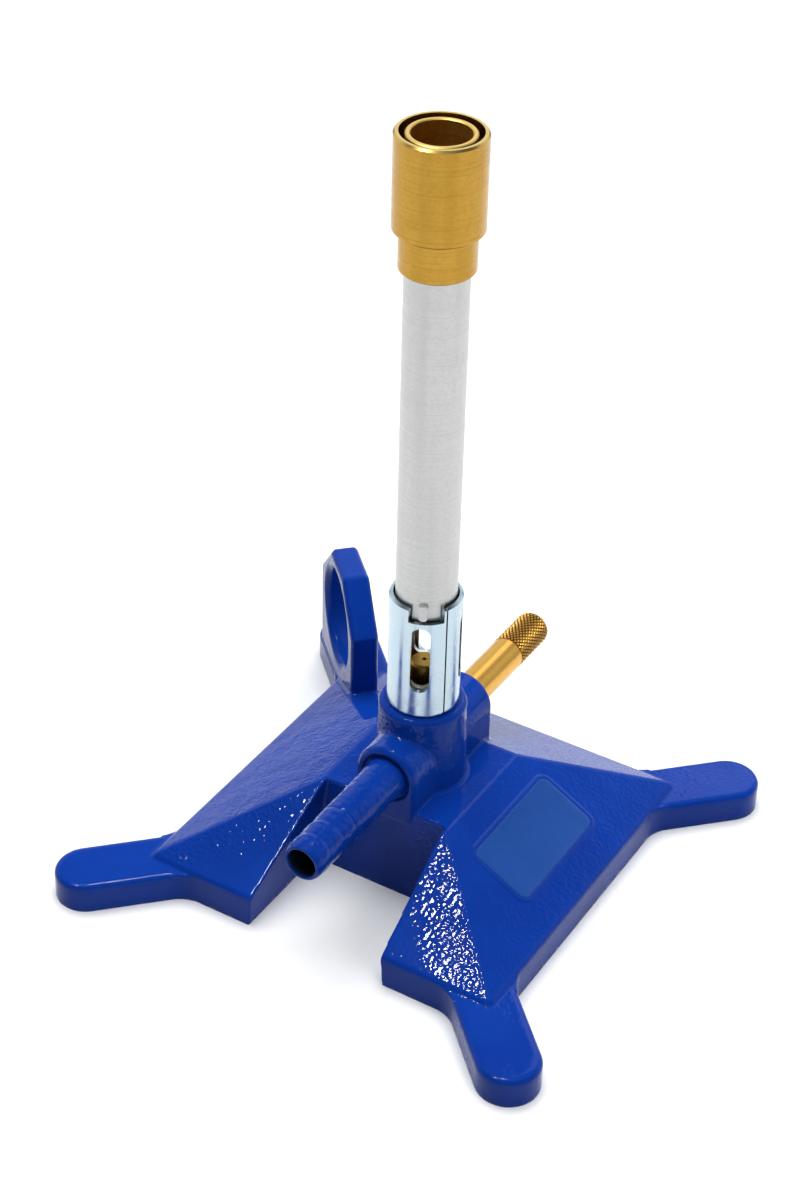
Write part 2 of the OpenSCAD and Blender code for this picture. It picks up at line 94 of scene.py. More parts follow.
# ---------------------------------------------------------------- mesh helpers

MERGE_REACH = 0.001 * MM


def piece(name, verts, faces, body, material, replaced=()):
    """A smooth-shaded mesh of an array of points and a list of faces that rides on a body."""
    mesh = bpy.data.meshes.new(name)
    mesh.from_pydata(verts.tolist(), [], faces)
    mesh.update()
    mesh.polygons.foreach_set("use_smooth", np.ones(len(mesh.polygons), bool))
    obj = bpy.data.objects.new(name, mesh)
    bpy.context.collection.objects.link(obj)
    mesh.materials.append(material)
    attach(obj, body)
    if replaced:
        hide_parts(*replaced)
    return obj


def grid_faces(rows, cols, wrap_rows=False, wrap_cols=False):
    """Quads between neighbouring points of a rows by cols grid, closed round either way if asked."""
    r = np.arange(rows if wrap_rows else rows - 1)
    c = np.arange(cols if wrap_cols else cols - 1)
    r, c = np.meshgrid(r, c, indexing="ij")
    r1, c1 = (r + 1) % rows, (c + 1) % cols
    quads = np.stack([r * cols + c, r * cols + c1, r1 * cols + c1, r1 * cols + c], -1)
    return quads.reshape(-1, 4).tolist()


def read_points(mesh):
    """The mesh's points as an array of rows x, y, z."""
    place = np.empty(len(mesh.vertices) * 3)
    mesh.vertices.foreach_get("co", place)
    return place.reshape(-1, 3)


def soft_profile(points, radius, steps=5):
    """A closed polyline whose corners are replaced by arcs that start and end at most radius away
    from each corner: corner point c and its neighbours give a quadratic curve a, c, b."""
    pts = np.asarray(points, float)
    before, after = np.roll(pts, 1, 0), np.roll(pts, -1, 0)
    reach_a = np.linalg.norm(before - pts, axis=1)
    reach_b = np.linalg.norm(after - pts, axis=1)
    cut = np.minimum(np.minimum(reach_a, reach_b) * 0.48, radius)[:, None]
    a = pts + (before - pts) / reach_a[:, None] * cut
    b = pts + (after - pts) / reach_b[:, None] * cut
    t = np.linspace(0, 1, steps)[None, :, None]
    curve = (1 - t) ** 2 * a[:, None] + 2 * t * (1 - t) * pts[:, None] + t ** 2 * b[:, None]
    return curve.reshape(-1, 2)


# ---------------------------------------------------------------- base casting

CAST_VOXEL = 0.3 * MM
CAST_RELAX = 0.5
CAST_RELAX_STEPS = 5
CAST_KEEP = 0.34
CAST_WELD = 0.002 * MM
SKIRT = 2 * MM
FOOT_HEIGHT = 0.001 * MM
CUT_REACH = 0.0001 * MM


def soft_casting(material):
    """The base casting with the soft edges and fillets of a painted casting: the CAD surface is
    resampled on an even voxel grid, relaxed, which rounds each edge, and thinned to a share
    CAST_KEEP of its faces. Its foot is drawn down first and cut off level afterwards, so it still
    stands flat."""
    node = frame["nodes"]["base_casting"]
    mesh = node.data.copy()
    mesh.name = "casting"
    place = read_points(mesh)
    place[place[:, 2] < FOOT_HEIGHT, 2] -= SKIRT
    mesh.vertices.foreach_set("co", place.ravel())
    obj = bpy.data.objects.new("casting", mesh)
    bpy.context.collection.objects.link(obj)
    mesh.materials.clear()
    weld = obj.modifiers.new("weld", "WELD")
    weld.merge_threshold = CAST_WELD
    remesh = obj.modifiers.new("remesh", "REMESH")
    remesh.mode = "VOXEL"
    remesh.voxel_size = CAST_VOXEL
    remesh.use_smooth_shade = True
    relax = obj.modifiers.new("relax", "SMOOTH")
    relax.factor = CAST_RELAX
    relax.iterations = CAST_RELAX_STEPS
    thin = obj.modifiers.new("thin", "DECIMATE")
    thin.ratio = CAST_KEEP
    baked = bpy.data.meshes.new_from_object(obj.evaluated_get(bpy.context.evaluated_depsgraph_get()))
    obj.modifiers.clear()
    obj.data = baked
    cut_level(baked)
    baked.materials.clear()
    baked.materials.append(material)
    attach(obj, "burner")
    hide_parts("base_casting")
    return obj


def cut_level(mesh):
    """Cuts a mesh off at height 0 and closes the cut with flat-shaded faces."""
    bm = bmesh.new()
    bm.from_mesh(mesh)
    for face in bm.faces:
        face.smooth = True
    everything = bm.verts[:] + bm.edges[:] + bm.faces[:]
    cut = bmesh.ops.bisect_plane(bm, geom=everything, dist=CUT_REACH, plane_co=(0, 0, 0),
                                 plane_no=(0, 0, 1), clear_inner=True)
    rim = [item for item in cut["geom_cut"] if isinstance(item, bmesh.types.BMEdge)]
    lid = bmesh.ops.triangle_fill(bm, use_beauty=True, edges=rim, normal=(0, 0, -1))
    for item in lid["geom"]:
        if isinstance(item, bmesh.types.BMFace):
            item.smooth = False
    bm.to_mesh(mesh)
    bm.free()


# ---------------------------------------------------------------- hose inlet

INLET_TURN_STEPS = 96
INLET_SEAT_Y = -13.9 * MM
INLET_SPIGOT_R = 4.0 * MM
INLET_ROOT_R = 4.68 * MM
INLET_ROOT_L = 1.0 * MM
INLET_TAPER_L = 4.0 * MM
INLET_NECK_R = 4.45 * MM
INLET_BORE_R = 3.05 * MM
INLET_SOFTNESS = 0.45 * MM
BARB_COUNT = 3
BARB_PITCH = 4.7 * MM
BARB_LEAD = 0.3 * MM
BARB_SMALL_R = 4.3 * MM
BARB_CREST_R = 4.44 * MM
BARB_CREST_START = 0.7 * MM
BARB_CREST_END = 1.9 * MM
TIP_L = 1.0 * MM
TIP_BEVEL = 0.4 * MM
TIP_BORE_BEVEL = 0.25 * MM


def hose_inlet(material):
    """A closed profile turned about the inlet's axis: y is the distance along the axis and the
    radius follows the plain neck, then serrations that rise to a crest and fall back slowly, all
    softened. The faces point inward: an open fault."""
    lo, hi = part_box("hose_inlet")
    centre_z = (lo.z + hi.z) / 2
    root, tip = hi.y, lo.y
    root_end = INLET_SEAT_Y - INLET_ROOT_L
    first = tip + BARB_COUNT * BARB_PITCH
    outer = [(root, INLET_SPIGOT_R), (INLET_SEAT_Y, INLET_SPIGOT_R), (INLET_SEAT_Y, INLET_ROOT_R),
             (root_end, INLET_ROOT_R), (root_end - INLET_TAPER_L, INLET_NECK_R),
             (first + BARB_LEAD, INLET_NECK_R)]
    for i in range(BARB_COUNT):
        start = first - i * BARB_PITCH
        outer += [(start, BARB_SMALL_R), (start - BARB_CREST_START, BARB_CREST_R),
                  (start - BARB_CREST_END, BARB_CREST_R)]
    outer += [(tip + TIP_L, BARB_SMALL_R), (tip, BARB_SMALL_R - TIP_BEVEL)]
    inner = [(tip, INLET_BORE_R + TIP_BORE_BEVEL), (tip + TIP_L, INLET_BORE_R), (root, INLET_BORE_R)]
    profile = soft_profile(outer + inner, INLET_SOFTNESS)
    angle = np.linspace(0, 2 * np.pi, INLET_TURN_STEPS, endpoint=False)[:, None]
    y, r = profile[None, :, 0], profile[None, :, 1]
    verts = np.stack([r * np.cos(angle), y + 0 * angle, centre_z + r * np.sin(angle)], -1).reshape(-1, 3)
    faces = grid_faces(INLET_TURN_STEPS, profile.shape[0], True, True)
    return piece("inlet", verts, faces, "burner", material, ["hose_inlet"])


# ---------------------------------------------------------------- valve knob

KNURL_STARTS = 27
KNURL_LEAD_TURNS = 0.36
KNURL_DEPTH = 0.32 * MM
KNURL_Y = 36.9 * MM
KNURL_RINGS = 118
KNURL_TURN_STEPS = 12 * KNURL_STARTS
KNURL_AT_END = 0.3
KNOB_END_R = 1.6 * MM
KNOB_END_RINGS = 14
KNOB_SHARP = math.radians(35)
SHANK_R = 3.85 * MM
SHANK_BEVEL = 0.35 * MM
TAIL_BORE_R = 1.35 * MM
TAIL_BORE_END = 23.9 * MM
SEAL_Y = 14.0 * MM
SEAL_GROOVE_HALF = 0.65 * MM
SEAL_GROOVE_DEPTH = 1.0 * MM
UNDERCUT = 0.12 * MM
UNDERCUT_START = 0.25 * MM
UNDERCUT_SLOPE = 0.05 * MM
UNDERCUT_END = 0.02 * MM


def valve_knob(material):
    """A round bar along +Y. Its radius falls by the knurl's depth along two crossing families of
    helical grooves: with u the turn and v the length, both u * starts + v and u * starts - v make
    a triangle wave, and the square of the deeper one sets the depth. The end is a quarter circle."""
    lo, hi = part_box("valve_knob")
    centre_z = (lo.z + hi.z) / 2
    centre_x = (lo.x + hi.x) / 2
    knurl_r = (hi.z - lo.z) / 2
    seal_r = SHANK_R - SEAL_GROOVE_DEPTH
    neck_r = SHANK_R - UNDERCUT
    plain = [(TAIL_BORE_END, 0), (TAIL_BORE_END, TAIL_BORE_R), (lo.y, TAIL_BORE_R),
             (lo.y, SHANK_R - SHANK_BEVEL), (lo.y + SHANK_BEVEL, SHANK_R),
             (SEAL_Y - SEAL_GROOVE_HALF, SHANK_R), (SEAL_Y - SEAL_GROOVE_HALF, seal_r),
             (SEAL_Y + SEAL_GROOVE_HALF, seal_r), (SEAL_Y + SEAL_GROOVE_HALF, SHANK_R),
             (KNURL_Y - UNDERCUT_START, SHANK_R), (KNURL_Y - UNDERCUT_START + UNDERCUT_SLOPE, neck_r),
             (KNURL_Y - UNDERCUT_END, neck_r)]
    plain_y, plain_r = np.array(plain).T
    along = np.linspace(KNURL_Y, hi.y - KNOB_END_R, KNURL_RINGS)
    bend = np.linspace(0, math.pi / 2, KNOB_END_RINGS)[1:]
    y = np.concatenate([plain_y, along, hi.y - KNOB_END_R + KNOB_END_R * np.sin(bend), [hi.y]])
    r = np.concatenate([plain_r, np.full(along.size, knurl_r),
                        knurl_r - KNOB_END_R + KNOB_END_R * np.cos(bend), [0]])
    knurled = np.concatenate([np.zeros(len(plain)), np.ones(along.size),
                              np.linspace(1, KNURL_AT_END, bend.size), [0]])
    angle = np.linspace(0, 2 * np.pi, KNURL_TURN_STEPS, endpoint=False)[:, None]
    u = angle / (2 * np.pi) * KNURL_STARTS
    v = (y[None, :] - KNURL_Y) / (hi.y - KNURL_Y) * KNURL_STARTS * KNURL_LEAD_TURNS
    wave_a = np.abs(np.mod(u + v, 1) - 0.5) * 2
    wave_b = np.abs(np.mod(u - v, 1) - 0.5) * 2
    groove = np.maximum(wave_a, wave_b) ** 2 * knurled[None, :]
    radius = np.maximum(r[None, :] - KNURL_DEPTH * groove, 0)
    verts = np.stack([centre_x + radius * np.cos(angle), y[None, :] + 0 * angle,
                      centre_z + radius * np.sin(angle)], -1).reshape(-1, 3)
    faces = grid_faces(KNURL_TURN_STEPS, y.size, wrap_rows=True)
    knob = piece("knob", verts, faces, "knob", material, ["valve_knob"])
    # The groove depth is kept for the knob's material, which paints shade into the grooves.
    depth = knob.data.attributes.new("groove", "FLOAT", "POINT")
    depth.data.foreach_set("value", groove.ravel())
    close_poles(knob)
    knob.data.set_sharp_from_angle(angle=KNOB_SHARP)
    return knob


def close_poles(obj):
    """Merges the points that meet on the axis, so the ends are closed."""
    bm = bmesh.new()
    bm.from_mesh(obj.data)
    bmesh.ops.remove_doubles(bm, verts=bm.verts, dist=MERGE_REACH)
    bmesh.ops.recalc_face_normals(bm, faces=bm.faces)
    bm.to_mesh(obj.data)
    bm.free()
    obj.data.polygons.foreach_set("use_smooth", np.ones(len(obj.data.polygons), bool))


# ---------------------------------------------------------------- air collar

RIM_STEP = 4.2 * MM
RIM_SLOPE = 0.3 * MM
RIM_OPEN = 0.35 * MM
WALL_FOLLOWS = 0.97


def round_normals(mesh):
    """Gives a turned mesh exact normals: along the radius where a face follows the turned wall,
    and the face's own everywhere else."""
    mesh.polygons.foreach_set("use_smooth", np.ones(len(mesh.polygons), bool))
    sides = np.empty(len(mesh.polygons), int)
    mesh.polygons.foreach_get("loop_total", sides)
    flat = np.empty(len(mesh.polygons) * 3)
    mesh.polygons.foreach_get("normal", flat)
    flat = np.repeat(flat.reshape(-1, 3), sides, axis=0)
    corner = np.empty(len(mesh.loops), int)
    mesh.loops.foreach_get("vertex_index", corner)
    out = read_points(mesh)[corner] * (1, 1, 0)
    out /= np.maximum(np.linalg.norm(out, axis=1, keepdims=True), 1e-9)
    along = (out * flat).sum(axis=1, keepdims=True)
    normals = np.where(np.abs(along) > WALL_FOLLOWS, out * np.sign(along), flat)
    mesh.normals_split_custom_set(normals.tolist())


def air_collar(material):
    """The CAD collar with its bore opened by RIM_OPEN over its top RIM_STEP, which shows the dark
    gap between the rolled sheet and the tube at the rim and round the notch."""
    mesh = frame["nodes"]["air_collar"].data.copy()
    mesh.name = "collar"
    bm = bmesh.new()
    bm.from_mesh(mesh)
    bmesh.ops.remove_doubles(bm, verts=bm.verts, dist=MERGE_REACH)
    top = max(v.co.z for v in bm.verts)
    bore = min(v.co.xy.length for v in bm.verts)
    for level in (top - RIM_STEP, top - RIM_STEP - RIM_SLOPE):
        everything = bm.verts[:] + bm.edges[:] + bm.faces[:]
        bmesh.ops.bisect_plane(bm, geom=everything, dist=MERGE_REACH / 2, plane_co=(0, 0, level),
                               plane_no=(0, 0, 1))
    for vert in bm.verts:
        radius = vert.co.xy.length
        if vert.co.z > top - RIM_STEP - RIM_SLOPE / 3 and radius < bore + RIM_OPEN:
            vert.co.xy *= (bore + RIM_OPEN) / radius
    bm.to_mesh(mesh)
    bm.free()
    mesh.materials.clear()
    mesh.materials.append(material)
    round_normals(mesh)
    obj = bpy.data.objects.new("collar", mesh)
    bpy.context.collection.objects.link(obj)
    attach(obj, "collar")
    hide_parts("air_collar")
    return obj


# ---------------------------------------------------------------- label plate

SLOPE = 0.55
EDGE_Z = 7.3 * MM
BODY_HALF = 41.5 * MM
LABEL_X = (21.6 * MM, 34.3 * MM)
LABEL_Y = (-15.0 * MM, 14.9 * MM)
LABEL_CORNER = 1.9 * MM
LABEL_CORNER_STEPS = 10
LABEL_THICK = 0.25 * MM
LABEL_BURIED = 0.5 * MM
LABEL_ROUND_STEPS = 5
LABEL_FLAT_INSET = 1.2 * MM
BEAD_WIDTH = 1.3 * MM
BEAD_OVERLAP = 0.15 * MM
BEAD_CREST = 0.20 * MM
BEAD_SKEW = 1.4
BEAD_SUNK = 0.02 * MM
BEAD_BURIED = 0.4 * MM
BEAD_STEPS = 9


def rounded_rectangle(half_w, half_h, radius):
    """Points of a rectangle with round corners, anticlockwise, about its middle."""
    corners = np.array([[1, 1], [-1, 1], [-1, -1], [1, -1]])
    starts = np.radians([0, 90, 180, 270])
    sweep = np.linspace(0, math.pi / 2, LABEL_CORNER_STEPS)
    centre = corners * [half_w - radius, half_h - radius]
    angle = starts[:, None] + sweep[None, :]
    ring = np.stack([np.cos(angle), np.sin(angle)], -1) * radius
    return (centre[:, None] + ring).reshape(-1, 2)


def label_rings(grow, height):
    """The label's outline once for each pair of values, grown by the first and raised above the
    sloping face by the second: points along the edge, down the slope and up from it."""
    half_w = (LABEL_Y[1] - LABEL_Y[0]) / 2
    half_h = (LABEL_X[1] - LABEL_X[0]) / 2 * math.hypot(1, SLOPE)
    rings = [rounded_rectangle(half_w + d, half_h + d, LABEL_CORNER + d) for d in grow]
    return np.concatenate([np.c_[ring, np.full(len(ring), h)] for ring, h in zip(rings, height)])


def on_slope(points):
    """Points along the edge, down the slope and up from it, about the label's middle, as places
    in the frame: middle + along * first + down * second + normal * third."""
    mid_x, mid_y = sum(LABEL_X) / 2, sum(LABEL_Y) / 2
    middle = np.array([mid_x, mid_y, EDGE_Z + SLOPE * (BODY_HALF - mid_x)])
    along = np.array([0.0, 1.0, 0.0])
    down = np.array([1.0, 0.0, -SLOPE]) / math.hypot(1, SLOPE)
    normal = np.array([SLOPE, 0.0, 1.0]) / math.hypot(1, SLOPE)
    return middle + points[:, :1] * along + points[:, 1:2] * down + points[:, 2:] * normal


def label_plate(material):
    """A thin plate on the sloping face: rings of a rounded rectangle from its buried edge up and
    over a small round to its flat top, closed above and below by a fan about the middle."""
    bend = np.linspace(0, math.pi / 2, LABEL_ROUND_STEPS)
    inset = np.concatenate([[0], LABEL_THICK * (1 - np.cos(bend)), [LABEL_FLAT_INSET]])
    height = np.concatenate([[-LABEL_BURIED], LABEL_THICK * np.sin(bend), [LABEL_THICK]])
    middles = np.array([[0, 0, LABEL_THICK], [0, 0, -LABEL_BURIED]])
    verts = on_slope(np.concatenate([label_rings(-inset, height), middles]))
    n = 4 * LABEL_CORNER_STEPS
    point = np.arange(n)
    after = (point + 1) % n
    top = len(height) * n
    faces = grid_faces(len(height), n, wrap_cols=True)
    faces += np.stack([top - n + point, top - n + after, np.full(n, top)], -1).tolist()
    faces += np.stack([after, point, np.full(n, top + 1)], -1).tolist()
    plate = piece("label_plate", verts, faces, "burner", material)
    close_poles(plate)
    return plate


def label_bead(material):
    """A low bead of paint round the label: rings of rounded rectangles that leave the face, rise
    to a crest and come back down at the label's edge, with height a sine of the way across."""
    t = np.linspace(0, 1, BEAD_STEPS)
    grow = np.concatenate([BEAD_WIDTH * (1 - t) - BEAD_OVERLAP * t, [-BEAD_OVERLAP, BEAD_WIDTH]])
    crest = BEAD_CREST * np.sin(math.pi * t ** BEAD_SKEW) - BEAD_SUNK
    height = np.concatenate([crest, [-BEAD_BURIED, -BEAD_BURIED]])
    faces = grid_faces(len(height), 4 * LABEL_CORNER_STEPS, True, True)
    bead = piece("label_bead", on_slope(label_rings(grow, height)), faces, "burner", material)
    close_poles(bead)
    return bead


# ---------------------------------------------------------------- materials

class Graph:
    """A shader tree with short ways to add nodes."""

    def __init__(self, tree):
        self.tree = tree

    def node(self, kind, **values):
        new = self.tree.nodes.new(kind)
        for key, value in values.items():
            if key in new.inputs:
                new.inputs[key].default_value = value
            else:
                setattr(new, key, value)
        return new

    def link(self, a, b):
        self.tree.links.new(a, b)

    def ramp(self, value, low, high, to_low=0.0, to_high=1.0):
        """A value's way from low to high, carried over to the range from to_low to to_high."""
        spread = self.node("ShaderNodeMapRange")
        for name, number in (("From Min", low), ("From Max", high), ("To Min", to_low), ("To Max", to_high)):
            spread.inputs[name].default_value = number
        self.link(value, spread.inputs["Value"])
        return spread.outputs["Result"]

    def joined(self, operation, a, b):
        both = self.node("ShaderNodeMath", operation=operation)
        self.link(a, both.inputs[0])
        self.link(b, both.inputs[1])
        return both.outputs["Value"]

    def product(self, a, b):
        return self.joined("MULTIPLY", a, b)

    def total(self, a, b):
        return self.joined("ADD", a, b)

    def parts(self, vector):
        """The three parts of a vector."""
        split = self.node("ShaderNodeSeparateXYZ")
        self.link(vector, split.inputs["Vector"])
        return split.outputs["X"], split.outputs["Y"], split.outputs["Z"]


class Finish(Graph):
    """A material with its shader and its object coordinates."""

    def __init__(self, name, base, metallic, roughness):
        self.material = bpy.data.materials.new(name)
        self.material.use_nodes = True
        super().__init__(self.material.node_tree)
        self.shader = self.tree.nodes["Principled BSDF"]
        self.shader.inputs["Base Color"].default_value = (*base, 1)
        self.shader.inputs["Metallic"].default_value = metallic
        self.shader.inputs["Roughness"].default_value = roughness
        self.where = self.tree.nodes.new("ShaderNodeTexCoord").outputs["Object"]
        self.bumped = None

    def stretched(self, scale):
        """Object coordinates multiplied by a scale along each axis."""
        mapping = self.node("ShaderNodeMapping")
        mapping.inputs["Scale"].default_value = scale
        self.link(self.where, mapping.inputs["Vector"])
        return mapping.outputs["Vector"]

    def noise(self, vector, scale, detail=2.0, rough=0.5):
        noise = self.node("ShaderNodeTexNoise")
        noise.inputs["Scale"].default_value = scale
        noise.inputs["Detail"].default_value = detail
        noise.inputs["Roughness"].default_value = rough
        self.link(vector, noise.inputs["Vector"])
        return noise.outputs["Fac"]

    def blend(self, factor, first, second):
        """A colour between the first, which is a colour or a socket, and the second."""
        mix = self.node("ShaderNodeMix", data_type="RGBA")
        if isinstance(first, tuple):
            mix.inputs["A"].default_value = (*first, 1)
        else:
            self.link(first, mix.inputs["A"])
        mix.inputs["B"].default_value = (*second, 1)
        self.link(factor, mix.inputs["Factor"])
        return mix.outputs["Result"]

    def bump(self, height, distance, strength=1.0):
        """Adds a bump on top of those already there; distance is in metres."""
        bump = self.node("ShaderNodeBump")
        bump.inputs["Distance"].default_value = distance
        bump.inputs["Strength"].default_value = strength
        self.link(height, bump.inputs["Height"])
        if self.bumped is not None:
            self.link(self.bumped, bump.inputs["Normal"])
        self.bumped = bump.outputs["Normal"]
        self.link(self.bumped, self.shader.inputs["Normal"])
        return bump

    def colour(self, socket):
        self.link(socket, self.shader.inputs["Base Color"])

    def rough(self, socket):
        self.link(socket, self.shader.inputs["Roughness"])


BLUE = (0.0030, 0.038, 0.300)
DEEP_BLUE = (0.0022, 0.030, 0.255)
# Painted shade: a near-black colour for the inlet's bore, where the narrow hole lies in shade.
BORE_SHADE = (0.003, 0.010, 0.018)
BORE_Z = 28.4 * MM
BORE_EDGE = (3.1 * MM, 3.4 * MM)
RIPPLE = 0.3 * MM
CAST_PEEL = 0.12 * MM
INLET_PEEL = 0.2 * MM
PEEL_FAINT = 0.15
PEEL_BEFORE_RIDGE = (-15.0 * MM, -6.0 * MM)
PEEL_PAST_RIDGE = (-0.5 * MM, 1.5 * MM)
PEEL_AT_TOES = (-43.0 * MM, -41.5 * MM)
PEEL_AT_LEFT = (-14.0 * MM, 0.0)


def gloss_paint(name):
    """Gloss paint with a coarse ripple and a tint that varies a little with the paint's depth."""
    f = Finish(name, BLUE, 0.0, 0.04)
    f.shader.inputs["Specular IOR Level"].default_value = 0.11
    patches = f.noise(f.where, 45.0, 3.0)
    f.tint = f.blend(f.ramp(patches, 0.35, 0.65), BLUE, DEEP_BLUE)
    f.colour(f.tint)
    f.bump(f.noise(f.where, 230.0, 0.0), RIPPLE, 0.14)
    return f


def blue_paint():
    """The casting's paint, with a fine orange peel. It is strong on the front faces beside the
    ridges, where |x| + y is just below zero, weaker on the left one, and faint elsewhere."""
    f = gloss_paint("blue_paint")
    peel = f.bump(f.noise(f.where, 1200.0, 0.0), CAST_PEEL, 0.8)
    x, y = f.parts(f.where)[:2]
    side = f.node("ShaderNodeMath", operation="ABSOLUTE")
    f.link(x, side.inputs[0])
    place = f.total(side.outputs["Value"], y)
    before = f.ramp(place, *PEEL_BEFORE_RIDGE, PEEL_FAINT, 1.0)
    past = f.ramp(place, *PEEL_PAST_RIDGE, 1.0, 0.3)
    toes = f.ramp(y, *PEEL_AT_TOES, PEEL_FAINT, 1.0)
    left = f.ramp(x, *PEEL_AT_LEFT, 0.84, 1.0)
    f.link(f.product(f.product(before, past), f.product(toes, left)), peel.inputs["Strength"])
    return f.material


def inlet_paint():
    """The same paint with a coarser peel on the inlet, and painted shade in its bore: near black where the
    narrow hole lies in shade.
    """
    f = gloss_paint("inlet_paint")
    f.bump(f.noise(f.where, 800.0, 0.0), INLET_PEEL, 0.8)
    middle = f.node("ShaderNodeVectorMath", operation="DISTANCE")
    middle.inputs[1].default_value = (0, 0, BORE_Z)
    f.link(f.stretched((1, 0, 1)), middle.inputs[0])
    # Painted shade: the bore is coloured near black within BORE_EDGE of the inlet's axis.
    bore_shade = f.ramp(middle.outputs["Value"], *BORE_EDGE, 1.0, 0.0)
    f.colour(f.blend(bore_shade, f.tint, BORE_SHADE))
    return f.material


def label_film():
    """A printed film: a shade greener and paler than the paint, and less glossy."""
    f = Finish("label_film", (0.009, 0.056, 0.270), 0.0, 0.22)
    f.shader.inputs["Specular IOR Level"].default_value = 0.2
    f.bump(f.noise(f.where, 300.0, 2.0), 0.2 * MM, 0.3)
    tone = f.ramp(f.noise(f.where, 60.0, 2.0), 0.3, 0.7)
    f.colour(f.blend(tone, (0.007, 0.052, 0.245), (0.010, 0.060, 0.280)))
    return f.material


def turned_metal(name, light, dark, roughness, rings, depth, tarnish, along, rim=None):
    """Turned metal in a light and a darker tone. Fine rings round the axis come from noise
    squeezed along it, with a speckled grain, streaks along the axis and slow patches of tarnish.
    The roughness follows the rings. A lighter rim colour goes on what faces up: a painted highlight of the
    light from above."""
    f = Finish(name, light, 1.0, roughness)
    ring = f.noise(f.stretched((1, 1, along)), rings, 3.0, 0.65)
    grain = f.noise(f.where, 1400.0, 2.0, 0.7)
    streak = f.noise(f.stretched((1, 1, 0.05)), 260.0, 1.0)
    patch = f.noise(f.where, 160.0, 4.0, 0.6)
    tone = f.blend(f.ramp(grain, 0.45, 0.75, 0.0, 0.6), light, dark)
    tone = f.blend(f.ramp(ring, 0.45, 0.70, 0.0, 0.5), tone, dark)
    tone = f.blend(f.ramp(streak, 0.45, 0.68, 0.0, 0.45), tone, dark)
    tone = f.blend(f.ramp(patch, 0.50, 0.72, 0.0, tarnish), tone, dark)
    # Painted highlight: what faces up is blended to the lighter rim colour, standing in for light from
    # above.
    if rim:
        facing = f.parts(f.node("ShaderNodeTexCoord").outputs["Normal"])
        tone = f.blend(f.ramp(facing[2], 0.4, 0.9), tone, rim)
    f.colour(tone)
    f.rough(f.ramp(ring, 0.3, 0.7, roughness * 0.8, roughness * 1.25))
    f.bump(ring, depth, 0.6)
    return f.material


ZINC = (0.45, 0.57, 0.65)
PALE_ZINC = (0.51, 0.60, 0.65)


def zinc_plate():
    """Bright bluish zinc on rolled sheet: faint vertical drawing marks and cloudy patches."""
    f = Finish("zinc_plate", ZINC, 1.0, 0.2)
    streak = f.noise(f.stretched((1, 1, 0.06)), 900.0, 2.0)
    cloud = f.noise(f.where, 220.0, 3.0)
    f.colour(f.blend(f.ramp(cloud, 0.3, 0.7), ZINC, PALE_ZINC))
    f.rough(f.ramp(cloud, 0.3, 0.7, 0.16, 0.3))
    f.bump(streak, 0.02 * MM, 0.4)
    return f.material


KNOB_BRASS = (0.74, 0.41, 0.085)
KNOB_DULL = (0.56, 0.29, 0.045)
# Painted shade: the dark colour laid into the knurl's grooves.
KNOB_GROOVE_SHADE = (0.12, 0.045, 0.005)


def knob_brass():
    """Turned brass whose knurl carries painted shade in its grooves: a dark colour there, and a duller
    gloss.
    """
    f = Finish("knob_brass", KNOB_BRASS, 1.0, 0.22)
    groove = f.node("ShaderNodeAttribute", attribute_name="groove").outputs["Fac"]
    ring = f.noise(f.stretched((1, 90, 1)), 22.0, 3.0, 0.65)
    shade = f.blend(f.ramp(ring, 0.45, 0.70, 0.0, 0.4), KNOB_BRASS, KNOB_DULL)
    # Painted shade: the knurl's grooves are coloured dark where shade would fall.
    f.colour(f.blend(f.ramp(groove, 0.2, 0.75), shade, KNOB_GROOVE_SHADE))
    f.rough(f.ramp(groove, 0.0, 0.4, 0.3, 0.42))
    f.bump(ring, 0.006 * MM, 0.6)
    return f.material


def plain_finish(name, base, metallic, roughness):
    """A quiet finish with a fine grain, for small inner pieces."""
    f = Finish(name, base, metallic, roughness)
    grain = f.noise(f.where, 1500.0, 2.0)
    f.rough(f.ramp(grain, 0.3, 0.7, roughness * 0.85, min(1.0, roughness * 1.2)))
    f.bump(grain, 0.01 * MM, 0.3)
    return f.material


def dress_nodes():
    """Gives each CAD node that stays in view its finish."""
    fine, coarse = 0.01 * MM, 0.03 * MM
    # Painted highlight: the lighter colour that the brass gets on what faces up.
    brass_top_highlight = (0.74, 0.52, 0.17)
    finishes = {
        # The tube's last colour is its painted highlight on what faces up.
        "burner_tube": turned_metal("tube_aluminium", (0.54, 0.535, 0.525), (0.44, 0.435, 0.425), 0.36,
                                    24.0, fine, 0.15, 110, (0.95, 0.94, 0.92)),
        "flame_cup": turned_metal("head_brass", (0.48, 0.275, 0.048), (0.36, 0.19, 0.026), 0.24,
                                  22.0, fine, 0.4, 90, brass_top_highlight),
        # Painted light: the insert's brass is lighter than the cup's, so that the inside of the mouth looks
        # lit.
        "flame_insert": turned_metal("insert_brass", (0.66, 0.38, 0.07), (0.45, 0.24, 0.035), 0.45,
                                     22.0, fine, 0.4, 90, brass_top_highlight),
        "gas_jet": turned_metal("jet_brass", (0.50, 0.30, 0.06), (0.3, 0.16, 0.03), 0.35,
                                70.0, coarse, 0.6, 60),
        "valve_needle": plain_finish("needle_steel", (0.55, 0.55, 0.55), 1.0, 0.3),
        "valve_seal": plain_finish("seal_rubber", (0.02, 0.02, 0.02), 0.0, 0.7),
    }
    for name, material in finishes.items():
        node = frame["nodes"][name]
        for i in range(len(node.data.materials)):
            node.data.materials[i] = material


# ---------------------------------------------------------------- stage

FLOOR_HALF = 3.0
FLOOR_WHITE = (0.90, 0.90, 0.90)
FLOOR_BOUNCE = (0.55, 0.55, 0.55)


